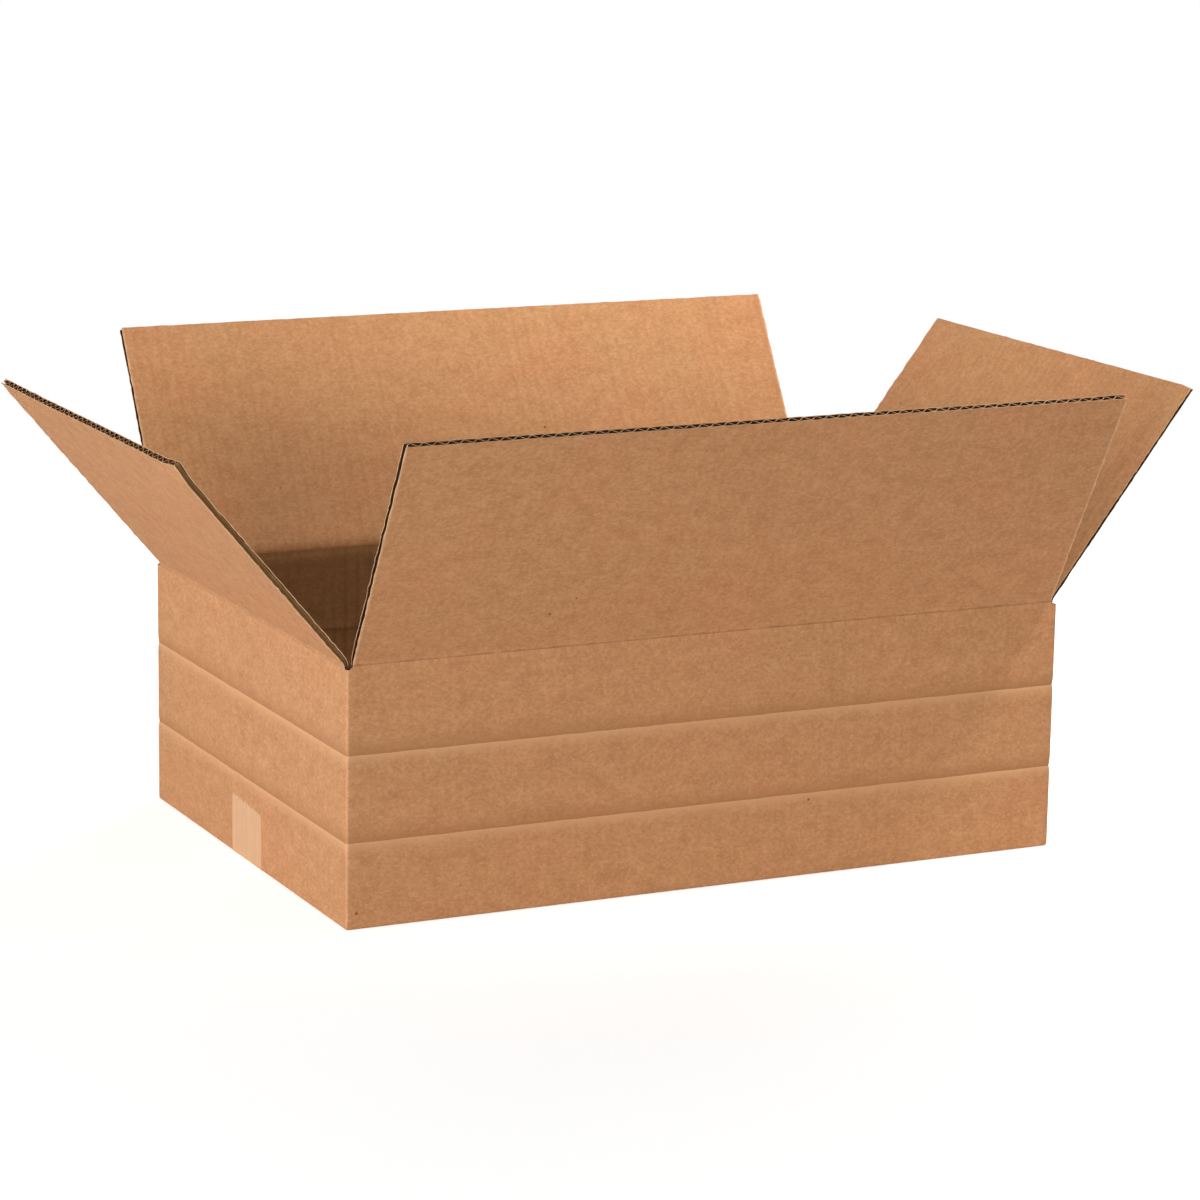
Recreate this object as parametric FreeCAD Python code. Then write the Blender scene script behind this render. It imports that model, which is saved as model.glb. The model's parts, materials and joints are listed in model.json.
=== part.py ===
import FreeCAD, Part
import math
import os

# Driving dimensions of a slotted shipping box of fluted board, in millimetres and degrees

inner_length = 457.2        # clear length between the end walls
inner_width = 304.8         # clear width between the long walls
tier_height = 51.0          # from the floor to the first score, and from each score to the next
tier_count = 3              # the walls can be cut down and folded again at each score

board = 4.0                 # thickness of the fluted board
liner = 0.4                 # flat sheet on each face of the board
medium = 0.4                # fluted sheet between the liners
flute_pitch = 8.0           # crest to crest
crest_flat = 1.2            # flat crest where the fluted sheet is glued to a liner
inner_bend = 0.6            # inside radius of the folded wall corners
score_depth = 0.8           # valley pressed into the outside at each score
score_width = 9.0           # full height of that valley

slot_width = 4.0            # cut beside each long flap, at each corner of the box
slot_clearance = 0.3        # between a folded-in short flap and the long walls
meeting_gap = 3.0           # between the edges of the two long flaps when they are folded in
stack_gap = 0.35            # between the short flaps and the long flaps over them
hinge_gap = 0.15            # from each crease line to the board on either side of it
crush_length = 9.0          # board pressed flat and closed beside a crease
open_flute_depth = 1.6      # how deep the open flute runs in from a flap's side edge

front_angle = 29.0          # each flap's lean from upright, outwards, as the box stands open
back_angle = 30.5
left_angle = 40.0
right_angle = 37.2

edge_inset = 0.6            # bottom long flaps stand back from the end walls by this much
fold_radius = 2.0           # outside radius where a long wall folds under the box
tab_width = 35.0            # glue tab inside one corner
tab_thickness = 3.2         # the tab is pressed a little thinner than the board
tab_end_drop = 12.0         # from the tab's tapered ends to the creases above and below
tab_taper = 10.0            # how much shorter the tab is along its free edge, at each end

tape_width = 48.0
tape_thickness = 0.2
tape_lap = 35.0             # height of the tape's ends up the end walls
tear_pitch = 3.2            # saw-cut ends of the tape
tear_depth = 1.4

# Sizes that follow from the driving dimensions

outer_length = inner_length + 2 * board
outer_width = inner_width + 2 * board
half_length = outer_length / 2
half_width = outer_width / 2
corner_radius = inner_bend + board
crease_offset = board + stack_gap
mean_crease = tier_height * tier_count
long_crease = mean_crease + crease_offset / 2
short_crease = mean_crease - crease_offset / 2
long_flap_length = half_width - meeting_gap / 2
short_flap_length = long_flap_length + crease_offset
long_flap_width = outer_length - 2 * slot_width
short_flap_width = inner_width - 2 * slot_clearance
base_level = tape_thickness
wall_foot = base_level + board
bottom_top = wall_foot + board


def vec(x, y, z):
    return FreeCAD.Vector(x, y, z)


def block(x_low, x_high, y_low, y_high, z_low, z_high):
    return Part.makeBox(x_high - x_low, y_high - y_low, z_high - z_low, vec(x_low, y_low, z_low))


def polygon(points):
    return Part.makePolygon(points + points[:1])


def prism(points, direction):
    return Part.Face(polygon(points)).extrude(direction)


def rounded_outline(length, width, radius, level):
    """Closed outline of a rectangle with round corners, centred on the box, at one height."""
    x, y = length / 2, width / 2
    corners = [(x - radius, radius - y, -90), (x - radius, y - radius, 0),
               (radius - x, y - radius, 90), (radius - x, radius - y, 180)]
    arcs = []
    for centre_x, centre_y, start in corners:
        points = []
        for turn in (0, 45, 90):
            angle = math.radians(start + turn)
            points.append(vec(centre_x + radius * math.cos(angle), centre_y + radius * math.sin(angle), level))
        arcs.append(Part.Arc(*points).toShape())
    edges = []
    for index, arc in enumerate(arcs):
        following = arcs[(index + 1) % len(arcs)]
        edges.append(arc)
        edges.append(Part.LineSegment(arc.Vertexes[-1].Point, following.Vertexes[0].Point).toShape())
    return Part.Wire(edges)


def scored_shell():
    """Solid outside form of the walls, with a shallow valley at each score."""
    levels = [(wall_foot, 0)]
    for tier in range(1, tier_count):
        score = tier * tier_height
        levels += [(score - score_width / 2, 0), (score, score_depth), (score + score_width / 2, 0)]
    levels.append((long_crease - hinge_gap, 0))
    outlines = []
    for level, depth in levels:
        outlines.append(rounded_outline(outer_length - 2 * depth, outer_width - 2 * depth,
                                        corner_radius - depth, level))
    return Part.makeLoft(outlines, True, True)


def mitre(across, along, crease, heading):
    """Wedge that slants a wall's top down and inwards, below the crease on its outer face."""
    top = crease - hinge_gap
    depth = board + 2 * inner_bend
    points = [vec(-along, -across, top + depth), vec(-along, -across, top),
              vec(-along, depth - across, top - depth), vec(-along, depth - across, top + depth)]
    wedge = prism(points, vec(2 * along, 0, 0))
    wedge.rotate(vec(0, 0, 0), vec(0, 0, 1), heading)
    return wedge


def walls():
    """Four walls folded from one sheet: the end walls stop lower, so the long flaps close over them."""
    shell = scored_shell()
    inside = rounded_outline(inner_length, inner_width, inner_bend, wall_foot)
    hollow = Part.Face(inside).extrude(vec(0, 0, 2 * long_crease))
    tube = shell.cut(hollow)
    cuts = []
    for heading in (0, 180):
        cuts.append(mitre(half_width, half_length, long_crease, heading))
    for heading in (90, 270):
        cuts.append(mitre(half_length, inner_width / 2, short_crease, heading))
    end_top = short_crease - hinge_gap
    slot_end = half_length - slot_width
    for side in (-1, 1):
        near, far = sorted((side * slot_end, side * (half_length + slot_width)))
        cuts.append(block(near, far, -outer_width, outer_width, end_top, 2 * long_crease))
    for cutter in cuts:
        tube = tube.cut(cutter)
    return tube


def long_bottom_flaps():
    """Outer pair of bottom flaps, with the seam between them along the length of the box."""
    radius = min(fold_radius, board)
    flat = half_width - radius
    fold_top = base_level + radius
    diagonal = math.sqrt(0.5)
    low_turn = base_level + radius * (1 - diagonal)
    out_turn = flat + radius * diagonal
    corners = [(flat, base_level), (half_width, fold_top), (half_width, wall_foot),
               (-half_width, wall_foot), (-half_width, fold_top), (-flat, base_level)]
    points = [vec(-half_length, y, z) for y, z in corners]
    edges = [Part.Arc(points[0], vec(-half_length, out_turn, low_turn), points[1]).toShape()]
    for start, end in zip(points[1:4], points[2:5]):
        if (end - start).Length > 0:
            edges.append(Part.LineSegment(start, end).toShape())
    edges.append(Part.Arc(points[4], vec(-half_length, -out_turn, low_turn), points[5]).toShape())
    edges.append(Part.LineSegment(points[5], points[0]).toShape())
    slab = Part.Face(Part.Wire(edges)).extrude(vec(outer_length, 0, 0))
    outline = rounded_outline(outer_length - 2 * edge_inset, outer_width, corner_radius, base_level)
    slab = slab.common(Part.Face(outline).extrude(vec(0, 0, board)))
    seam = block(-outer_length, outer_length, -meeting_gap / 2, meeting_gap / 2, 0, bottom_top)
    return slab.cut(seam)


def short_bottom_flap(side):
    """Inner bottom flap folded in from one end wall, lying on the long flaps."""
    tip = half_length - short_flap_length + stack_gap
    low, high = sorted((side * tip, side * (half_length - board / 2)))
    return block(low, high, -short_flap_width / 2, short_flap_width / 2, wall_foot, bottom_top)


def glue_tab():
    """Tab that joins the two ends of the sheet inside the back right corner."""
    face = inner_length / 2
    edge = inner_width / 2
    low = bottom_top + tab_end_drop
    high = short_crease - board - tab_end_drop
    points = [vec(face, edge, low), vec(face, edge, high),
              vec(face, edge - tab_width, high - tab_taper), vec(face, edge - tab_width, low + tab_taper)]
    return prism(points, vec(-tab_thickness, 0, 0))


def box_body():
    body = walls()
    for piece in (long_bottom_flaps(), short_bottom_flap(-1), short_bottom_flap(1), glue_tab()):
        body = body.fuse(piece)
    return body.removeSplitter()


def flute_outlines(width, level):
    """Straight-sided flutes of the board's section, on both sides of the fluted sheet."""
    low_line = liner + medium / 2
    high_line = board - low_line
    slope = math.atan2(high_line - low_line, flute_pitch / 2 - crest_flat)
    side_step = medium / 2 / math.sin(slope)
    narrow = crest_flat / 2 + medium / 2 / math.tan(slope) - side_step
    wide = narrow + (high_line - low_line) / math.tan(slope)
    count = int((width - 2 * open_flute_depth) // flute_pitch)
    first = -(count - 1) * flute_pitch / 2
    deep, shallow = liner + medium, board - liner - medium
    outlines = []
    for index in range(count):
        centre = first + index * flute_pitch
        outlines.append(polygon([vec(centre - wide, liner, level), vec(centre + wide, liner, level),
                                 vec(centre + narrow, shallow, level), vec(centre - narrow, shallow, level)]))
    for index in range(count - 1):
        centre = first + (index + 0.5) * flute_pitch
        outlines.append(polygon([vec(centre - narrow, deep, level), vec(centre + narrow, deep, level),
                                 vec(centre + wide, board - liner, level),
                                 vec(centre - wide, board - liner, level)]))
    return outlines


def board_section(width, level):
    """Cross-section of a flap: its side edges are cut along a flute and stand open."""
    half = width / 2
    floor = half - open_flute_depth
    outer = polygon([vec(-half, 0, level), vec(half, 0, level), vec(half, liner, level),
                     vec(floor, liner, level), vec(floor, board - liner, level),
                     vec(half, board - liner, level), vec(half, board, level), vec(-half, board, level),
                     vec(-half, board - liner, level), vec(-floor, board - liner, level),
                     vec(-floor, liner, level), vec(-half, liner, level)])
    return Part.makeFace([outer] + flute_outlines(width, level), "Part::FaceMakerCheese")


def flap(width, length, crease, distance, lean, heading):
    """One top flap, creased to its wall at the outer face, and leaning outwards."""
    fluted = board_section(width, crush_length).extrude(vec(0, 0, length - crush_length))
    half = width / 2
    foot = prism([vec(-half, 0, hinge_gap), vec(-half, board, hinge_gap + board),
                  vec(-half, board, crush_length), vec(-half, 0, crush_length)], vec(width, 0, 0))
    solid = foot.fuse(fluted).removeSplitter()
    solid.rotate(vec(0, 0, 0), vec(1, 0, 0), lean)
    solid.translate(vec(0, -distance, crease))
    solid.rotate(vec(0, 0, 0), vec(0, 0, 1), heading)
    return solid


def long_flap(lean, heading):
    return flap(long_flap_width, long_flap_length, long_crease, half_width, lean, heading)


def short_flap(lean, heading):
    return flap(short_flap_width, short_flap_length, short_crease, half_length, lean, heading)


def tape_band():
    """Tape along the bottom seam, turned up over both end walls."""
    inner_x, outer_x = half_length, half_length + tape_thickness
    inner_bend_radius = edge_inset
    outer_bend_radius = edge_inset + tape_thickness
    bend_x = half_length - edge_inset
    bend_z = base_level + edge_inset
    diagonal = math.sqrt(0.5)
    edges = []

    def line(x_from, z_from, x_to, z_to):
        edges.append(Part.LineSegment(vec(x_from, 0, z_from), vec(x_to, 0, z_to)).toShape())

    def bend(side, radius, start, end):
        middle = vec(side * (bend_x + radius * diagonal), 0, bend_z - radius * diagonal)
        edges.append(Part.Arc(vec(*start), middle, vec(*end)).toShape())

    line(-outer_x, tape_lap, -outer_x, bend_z)
    bend(-1, outer_bend_radius, (-outer_x, 0, bend_z), (-bend_x, 0, 0))
    line(-bend_x, 0, bend_x, 0)
    bend(1, outer_bend_radius, (bend_x, 0, 0), (outer_x, 0, bend_z))
    line(outer_x, bend_z, outer_x, tape_lap)
    line(outer_x, tape_lap, inner_x, tape_lap)
    line(inner_x, tape_lap, inner_x, bend_z)
    bend(1, inner_bend_radius, (inner_x, 0, bend_z), (bend_x, 0, base_level))
    line(bend_x, base_level, -bend_x, base_level)
    bend(-1, inner_bend_radius, (-bend_x, 0, base_level), (-inner_x, 0, bend_z))
    line(-inner_x, bend_z, -inner_x, tape_lap)
    line(-inner_x, tape_lap, -outer_x, tape_lap)
    band = Part.Face(Part.Wire(edges)).extrude(vec(0, tape_width, 0))
    band.translate(vec(0, -tape_width / 2, 0))
    return band


def bottom_tape():
    """The tape with its saw-cut ends."""
    band = tape_band()
    teeth = max(1, round(tape_width / tear_pitch))
    pitch = tape_width / teeth
    notches = []
    for index in range(teeth):
        start = -tape_width / 2 + index * pitch
        points = [vec(-outer_length, start, tape_lap), vec(-outer_length, start + pitch, tape_lap),
                  vec(-outer_length, start + pitch / 2, tape_lap - tear_depth)]
        notches.append(prism(points, vec(2 * outer_length, 0, 0)))
    return band.cut(notches)


nodes = {
    "box_body": box_body(),
    "front_flap": long_flap(front_angle, 0),
    "back_flap": long_flap(back_angle, 180),
    "left_flap": short_flap(left_angle, 270),
    "right_flap": short_flap(right_angle, 90),
    "bottom_tape": bottom_tape(),
}

os.makedirs("parts", exist_ok=True)
for name, shape in nodes.items():
    shape.exportStep(os.path.join("parts", name + ".step"))
    box = shape.BoundBox
    print(name, "solids", len(shape.Solids), "valid", shape.isValid(), "volume", round(shape.Volume),
          "x", round(box.XMin, 2), round(box.XMax, 2), "y", round(box.YMin, 2), round(box.YMax, 2),
          "z", round(box.ZMin, 2), round(box.ZMax, 2))
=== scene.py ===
import json
import math

import bmesh
import bpy
from mathutils import Matrix, Vector


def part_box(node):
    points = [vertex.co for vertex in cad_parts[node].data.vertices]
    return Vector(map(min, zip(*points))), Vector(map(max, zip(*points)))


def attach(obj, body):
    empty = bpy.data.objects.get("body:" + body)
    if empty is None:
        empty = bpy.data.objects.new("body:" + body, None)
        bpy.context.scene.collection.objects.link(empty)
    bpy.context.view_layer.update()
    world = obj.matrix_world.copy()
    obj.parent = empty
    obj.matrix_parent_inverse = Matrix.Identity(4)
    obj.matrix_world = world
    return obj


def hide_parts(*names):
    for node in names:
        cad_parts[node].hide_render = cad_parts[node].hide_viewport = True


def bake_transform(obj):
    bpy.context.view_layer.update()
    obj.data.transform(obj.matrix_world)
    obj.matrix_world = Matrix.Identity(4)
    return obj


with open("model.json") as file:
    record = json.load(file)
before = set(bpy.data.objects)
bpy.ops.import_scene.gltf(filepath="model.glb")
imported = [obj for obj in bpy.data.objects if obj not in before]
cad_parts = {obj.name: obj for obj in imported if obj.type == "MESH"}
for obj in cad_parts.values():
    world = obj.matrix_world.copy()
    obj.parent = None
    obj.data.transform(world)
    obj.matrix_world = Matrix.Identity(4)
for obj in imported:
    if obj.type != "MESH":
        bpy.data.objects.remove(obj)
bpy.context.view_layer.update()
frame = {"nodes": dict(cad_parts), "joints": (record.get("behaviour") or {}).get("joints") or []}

scene = bpy.context.scene
joints = {joint["child"]: joint for joint in frame["joints"]}
tiny = 0.00002                  # points this close are at the same place
print("frame loaded:", len(frame["nodes"]), "solids")


# selecting and editing

def startPiece():
    if bpy.context.object and bpy.context.object.mode != "OBJECT":
        bpy.ops.object.mode_set(mode="OBJECT")
    bpy.ops.object.select_all(action="DESELECT")


def select(piece):
    startPiece()
    piece.select_set(True)
    bpy.context.view_layer.objects.active = piece


def openPiece(piece):
    select(piece)
    bpy.ops.object.mode_set(mode="EDIT")
    bpy.ops.mesh.select_mode(type="VERT")


def closePiece():
    bpy.ops.object.mode_set(mode="OBJECT")


def pickPoints(piece, test):
    bpy.ops.mesh.select_mode(type="VERT")
    bpy.ops.mesh.select_all(action="DESELECT")
    mesh = bmesh.from_edit_mesh(piece.data)
    for point in mesh.verts:
        if test(point.co):
            point.select_set(True)
    mesh.select_flush(True)
    bmesh.update_edit_mesh(piece.data)


def pickEdges(piece, test):
    bpy.ops.mesh.select_mode(type="EDGE")
    bpy.ops.mesh.select_all(action="DESELECT")
    mesh = bmesh.from_edit_mesh(piece.data)
    for edge in mesh.edges:
        if test(edge.verts[0].co, edge.verts[1].co):
            edge.select_set(True)
    bmesh.update_edit_mesh(piece.data)


def pickFaces(piece, test):
    bpy.ops.mesh.select_mode(type="FACE")
    bpy.ops.mesh.select_all(action="DESELECT")
    mesh = bmesh.from_edit_mesh(piece.data)
    mesh.normal_update()
    for face in mesh.faces:
        if test(face.calc_center_median(), face.normal):
            face.select_set(True)
    bmesh.update_edit_mesh(piece.data)


def near(a, b):
    return abs(a - b) < tiny


def settle(piece):
    # the place goes into the mesh, and the object stays at the origin
    select(piece)
    bpy.ops.object.transform_apply(location=True, rotation=True, scale=True)


def finishWith(piece, kind, **settings):
    select(piece)
    modifier = piece.modifiers.new(kind.lower(), kind)
    for name, value in settings.items():
        setattr(modifier, name, value)
    bpy.ops.object.modifier_apply(modifier=modifier.name)


def smooth(piece):
    select(piece)
    bpy.ops.object.shade_smooth_by_angle(angle=math.radians(40))


def paintPicked(piece, slot):
    piece.active_material_index = slot
    bpy.ops.object.material_slot_assign()


def cutAcross(axis, places):
    for place in places:
        point, normal = Vector(), Vector()
        point[axis], normal[axis] = place, 1
        bpy.ops.mesh.select_all(action="SELECT")
        bpy.ops.mesh.bisect(plane_co=point, plane_no=normal)


def stretch(factors, centre):
    bpy.ops.transform.resize(value=factors, center_override=centre)


def layOnSheet(piece, place):
    # the sheet map gives each point its place on the flat, unfolded board, in metres
    layer = piece.data.uv_layers.get("sheet") or piece.data.uv_layers.new(name="sheet")
    for face in piece.data.polygons:
        for corner in face.loop_indices:
            spot = piece.data.vertices[piece.data.loops[corner].vertex_index].co
            layer.data[corner].uv = place(spot, face.normal)


# the sheet that the box is folded from, in metres
board = {
    "thickness": 0.0040,
    "liner": 0.0005,
    "medium": 0.0005,
    "flutePitch": 0.0080,
    "fluteSteps": 10,           # faces round one flute
    "linerStep": 0.0040,        # width of one column of faces on a liner
    "pressPoint": 0.0009,       # depth in the board that stays put where it is pressed
    "foldRun": 0.0046,          # height over which a flap turns at its crease
    "openFlute": 0.0010,        # how far the fluted sheet stands back from the side edges
    "roughEdge": 0.00022,       # unevenness of the liners' free edges
    "roughSide": 0.00042,       # and of their side edges, which the slotting knife tore
    "tearFrom": 0.012,          # the torn points, from above a crease to below the free edge
    "tearTo": 0.026,
    "tearStep": 0.0030,
    "bow": 0.0012,              # how far a flap is from flat
    "bowFrom": 0.010,           # from this height over its crease on
    "shortBy": 0.0007,          # left off each flap, so that uneven edges stay inside its length
    "slot": 0.0040,             # from the outer face of a wall to the side edge of a long flap
    "endGap": 0.0003,           # more at an end flap, so that it folds in freely
}

# heights of the top creases over the long walls and over the end walls, and of the scores
creaseHeights = {"long": 0.1538, "end": 0.1520}
scoreHeights = [0.051, 0.102]

# height from a crease, and the share of the board's thickness that is left there
pressed = [(0.0, 0.60), (0.0006, 0.61), (0.0012, 0.63), (0.0019, 0.68), (0.0027, 0.75),
           (0.0036, 0.83), (0.0046, 0.90), (0.0065, 0.96), (0.0090, 1.0)]


def shareAt(height):
    for (low, lowShare), (high, highShare) in zip(pressed, pressed[1:]):
        if height < high:
            return lowShare + (highShare - lowShare) * max(0, height - low) / (high - low)
    return 1.0


def easeAt(part):
    part = min(1, max(0, part))
    return part * part * (3 - 2 * part)


# paper materials

def tone(red, green, blue):
    def linear(value):
        value /= 255
        return value / 12.92 if value <= 0.04045 else ((value + 0.055) / 1.055) ** 2.4
    return (linear(red), linear(green), linear(blue), 1)


def newGroup(name, inputs, outputs):
    group = bpy.data.node_groups.new(name, "ShaderNodeTree")
    for label, kind in inputs:
        group.interface.new_socket(label, in_out="INPUT", socket_type="NodeSocket" + kind)
    for label, kind in outputs:
        group.interface.new_socket(label, in_out="OUTPUT", socket_type="NodeSocket" + kind)
    return group, group.nodes.new("NodeGroupInput").outputs, group.nodes.new("NodeGroupOutput").inputs


def addNode(tree, kind, values=None, **settings):
    made = tree.nodes.new("ShaderNode" + kind)
    for name, value in settings.items():
        setattr(made, name, value)
    for name, value in (values or {}).items():
        if isinstance(value, bpy.types.NodeSocket):
            tree.links.new(value, made.inputs[name])
        else:
            made.inputs[name].default_value = value
    return made


def calculate(tree, operation, a, b=0.0, clamp=False):
    return addNode(tree, "Math", {0: a, 1: b}, operation=operation, use_clamp=clamp).outputs[0]


def spread(tree, value, low, high, outLow=0.0, outHigh=1.0):
    made = addNode(tree, "MapRange", {"Value": value, "From Min": low, "From Max": high,
                                      "To Min": outLow, "To Max": outHigh}, clamp=True)
    return made.outputs[0]


def noiseAt(tree, place, scales, detail, roughness=0.5):
    scaled = addNode(tree, "VectorMath", {0: place, 1: scales}, operation="MULTIPLY").outputs[0]
    made = addNode(tree, "TexNoise", {"Vector": scaled, "Scale": 1.0, "Detail": detail,
                                      "Roughness": roughness})
    return made.outputs[0]


def mixTones(tree, share, a, b, kind="MIX"):
    made = addNode(tree, "Mix", {0: share, 6: a, 7: b}, data_type="RGBA", blend_type=kind)
    return made.outputs[2]


def makePulpGroup():
    # the look of kraft paper: clouds, short fibres, pale hairs and dark specks
    group, given, out = newGroup("kraftPulp", [("Place", "Vector"), ("Seed", "Float")],
                                 [("Patches", "Float"), ("Clouds", "Float"), ("Fibres", "Float"),
                                  ("Hairs", "Float"), ("Specks", "Float"), ("Relief", "Float")])
    flat = addNode(group, "SeparateXYZ", {0: given["Place"]}).outputs
    place = addNode(group, "CombineXYZ", {0: flat[0], 1: flat[1], 2: given["Seed"]}).outputs[0]
    patches = noiseAt(group, place, (16, 20, 1), 3)
    clouds = noiseAt(group, place, (70, 95, 3), 4, 0.6)
    fibres = noiseAt(group, place, (460, 600, 5), 5, 0.75)
    strands = noiseAt(group, place, (260, 2000, 7), 2, 0.5)
    hairs = spread(group, strands, 0.66, 0.76)
    dots = addNode(group, "TexVoronoi", {"Vector": place, "Scale": 62.0, "Randomness": 1.0})
    chance = addNode(group, "SeparateColor", {0: dots.outputs["Color"]}).outputs
    size = spread(group, chance[0], 0.62, 1.0, 0.0, 0.070)
    inside = calculate(group, "SUBTRACT", size, dots.outputs["Distance"])
    specks = calculate(group, "MULTIPLY", inside, 60.0, clamp=True)
    grain = calculate(group, "MULTIPLY", fibres, 0.7)
    relief = calculate(group, "ADD", grain, calculate(group, "MULTIPLY", clouds, 0.3))
    for name, value in (("Patches", patches), ("Clouds", clouds), ("Fibres", fibres),
                        ("Hairs", hairs), ("Specks", specks), ("Relief", relief)):
        group.links.new(value, out[name])
    return group


def makeRibGroup():
    # the flutes that show faintly through a liner, stronger in some places than in others
    group, given, out = newGroup("fluteShow", [("Place", "Vector"), ("Pitch", "Float"), ("Seed", "Float")],
                                 [("Ribs", "Float")])
    flat = addNode(group, "SeparateXYZ", {0: given["Place"]}).outputs
    place = addNode(group, "CombineXYZ", {0: flat[0], 1: flat[1], 2: given["Seed"]}).outputs[0]
    sway = noiseAt(group, place, (40, 6, 1), 2)
    turns = calculate(group, "DIVIDE", flat[0], given["Pitch"])
    turns = calculate(group, "ADD", turns, calculate(group, "MULTIPLY", sway, 0.5))
    wave = calculate(group, "COSINE", calculate(group, "MULTIPLY", turns, 2 * math.pi))
    uneven = spread(group, noiseAt(group, place, (25, 9, 2), 3), 0.35, 0.65, 0.15, 1.0)
    ribs = calculate(group, "MULTIPLY", wave, uneven)
    group.links.new(ribs, out["Ribs"])
    return group


def makeFoldGroup():
    # painted light and shade beside a fold: painted shade over it, painted light under it, and a thin
    # uneven line of painted shade in it
    group, given, out = newGroup("foldPaintedLightAndShade", [("Place", "Vector"), ("Level", "Float"), ("Rise", "Float"),
                                              ("Fall", "Float"), ("Line Width", "Float")],
                                 [("Shade", "Float"), ("Light", "Float"), ("Line", "Float")])
    flat = addNode(group, "SeparateXYZ", {0: given["Place"]}).outputs
    wobble = noiseAt(group, given["Place"], (55, 0, 0), 3)
    wobble = calculate(group, "MULTIPLY", calculate(group, "SUBTRACT", wobble, 0.5), 0.0012)
    height = calculate(group, "ADD", calculate(group, "SUBTRACT", flat[1], given["Level"]), wobble)
    above = calculate(group, "GREATER_THAN", height, 0.0)
    rising = calculate(group, "DIVIDE", height, given["Rise"])
    rising = calculate(group, "SUBTRACT", 1.0, rising, clamp=True)
    falling = calculate(group, "DIVIDE", height, given["Fall"])
    falling = calculate(group, "ADD", 1.0, falling, clamp=True)
    shade = calculate(group, "MULTIPLY", calculate(group, "MULTIPLY", rising, rising), above)
    below = calculate(group, "SUBTRACT", 1.0, above)
    light = calculate(group, "MULTIPLY", calculate(group, "MULTIPLY", falling, falling), below)
    distance = calculate(group, "DIVIDE", calculate(group, "ABSOLUTE", height), given["Line Width"])
    line = calculate(group, "SUBTRACT", 1.0, distance, clamp=True)
    breaks = spread(group, noiseAt(group, given["Place"], (90, 0, 0), 2), 0.3, 0.6, 0.35, 1.0)
    line = calculate(group, "MULTIPLY", line, breaks)
    for name, value in (("Shade", shade), ("Light", light), ("Line", line)):
        group.links.new(value, out[name])
    return group


def makePanelGroup():
    # which wall a point of the sheet belongs to, and a pale band beside a corner of the box, partly wear
    # and partly painted highlight of the rounded corner
    names = ("Long Fold", "End Fold", "Long Half", "End Half", "Slot", "Wear And Highlight Width")
    group, given, out = newGroup("panelPlace",
                                 [("Place", "Vector")] + [(name, "Float") for name in names],
                                 [("Fold Level", "Float"), ("End Panel", "Float"), ("On Flap", "Float"),
                                  ("Edge Wear And Highlight", "Float")])
    flat = addNode(group, "SeparateXYZ", {0: given["Place"]}).outputs
    panel = calculate(group, "ROUND", flat[0])
    local = calculate(group, "ABSOLUTE", calculate(group, "SUBTRACT", flat[0], panel))
    end = calculate(group, "ABSOLUTE", calculate(group, "MODULO", panel, 2.0))
    level = addNode(group, "Mix", {0: end, 2: given["Long Fold"], 3: given["End Fold"]}).outputs[0]
    half = addNode(group, "Mix", {0: end, 2: given["Long Half"], 3: given["End Half"]}).outputs[0]
    onFlap = calculate(group, "GREATER_THAN", flat[1], level)
    half = calculate(group, "SUBTRACT", half, calculate(group, "MULTIPLY", onFlap, given["Slot"]))
    inset = calculate(group, "SUBTRACT", half, local)
    wearAndHighlight = calculate(group, "DIVIDE", inset, given["Wear And Highlight Width"])
    wearAndHighlight = calculate(group, "SUBTRACT", 1.0, wearAndHighlight, clamp=True)
    rub = spread(group, noiseAt(group, given["Place"], (30, 160, 1), 3), 0.35, 0.65, 0.35, 1.0)
    wearAndHighlight = calculate(group, "MULTIPLY", wearAndHighlight, rub)
    group.links.new(level, out["Fold Level"])
    for name, value in (("End Panel", end), ("On Flap", onFlap), ("Edge Wear And Highlight", wearAndHighlight)):
        group.links.new(value, out[name])
    return group


groups = {"pulp": makePulpGroup(), "ribs": makeRibGroup(), "fold": makeFoldGroup(),
          "panel": makePanelGroup()}

# kinds of paper and of painted shade on paper: their tones in sRGB, and how strongly the flutes show
# through
papers = {
    # each paper's line tone is the painted shade in a crease
    "kraftOutside": {"base": (199, 146, 103), "dark": (172, 120, 79), "pale": (220, 170, 127),
                     "pink": (202, 145, 103), "line": (112, 72, 42), "seed": 1.3, "ribs": 0.10,
                     "folds": scoreHeights, "creases": True, "roughness": 0.82},
    "kraftInside": {"base": (203, 151, 106), "dark": (176, 123, 80), "pale": (222, 172, 127),
                    "pink": (206, 148, 104), "line": (120, 78, 46), "seed": 7.9, "ribs": 0.20,
                    "folds": [], "creases": True, "roughness": 0.86},
    # the inside paper darkened as painted shade, for the inside of the box: walls, bottom flaps, glue tab
    # and the crushed end of a fluted sheet
    "kraftInsidePaintedShade": {"base": (142, 104, 64), "dark": (118, 84, 49), "pale": (160, 120, 80),
                    "pink": (142, 101, 63), "line": (70, 44, 26), "seed": 7.9, "ribs": 0.55,
                    "folds": [], "creases": True, "roughness": 0.88},
    # the fluted paper painted far darker than it is, as painted shade in the hollows of the flutes and at
    # the slot bottoms
    "flutedPaperPaintedShade": {"base": (74, 48, 29), "dark": (56, 35, 20), "pale": (94, 63, 39),
                    "pink": (74, 46, 29), "seed": 4.1, "ribs": 0.0,
                    "folds": [], "creases": False, "roughness": 0.9},
    "paperEdge": {"base": (226, 184, 144), "dark": (190, 140, 98), "pale": (240, 206, 170),
                  "pink": (222, 176, 136), "seed": 2.7, "ribs": 0.0,
                  "folds": [], "creases": False, "roughness": 0.92},
}


def placeGroup(tree, name, place, values):
    return addNode(tree, "Group", {"Place": place, **values}, node_tree=groups[name]).outputs
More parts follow.
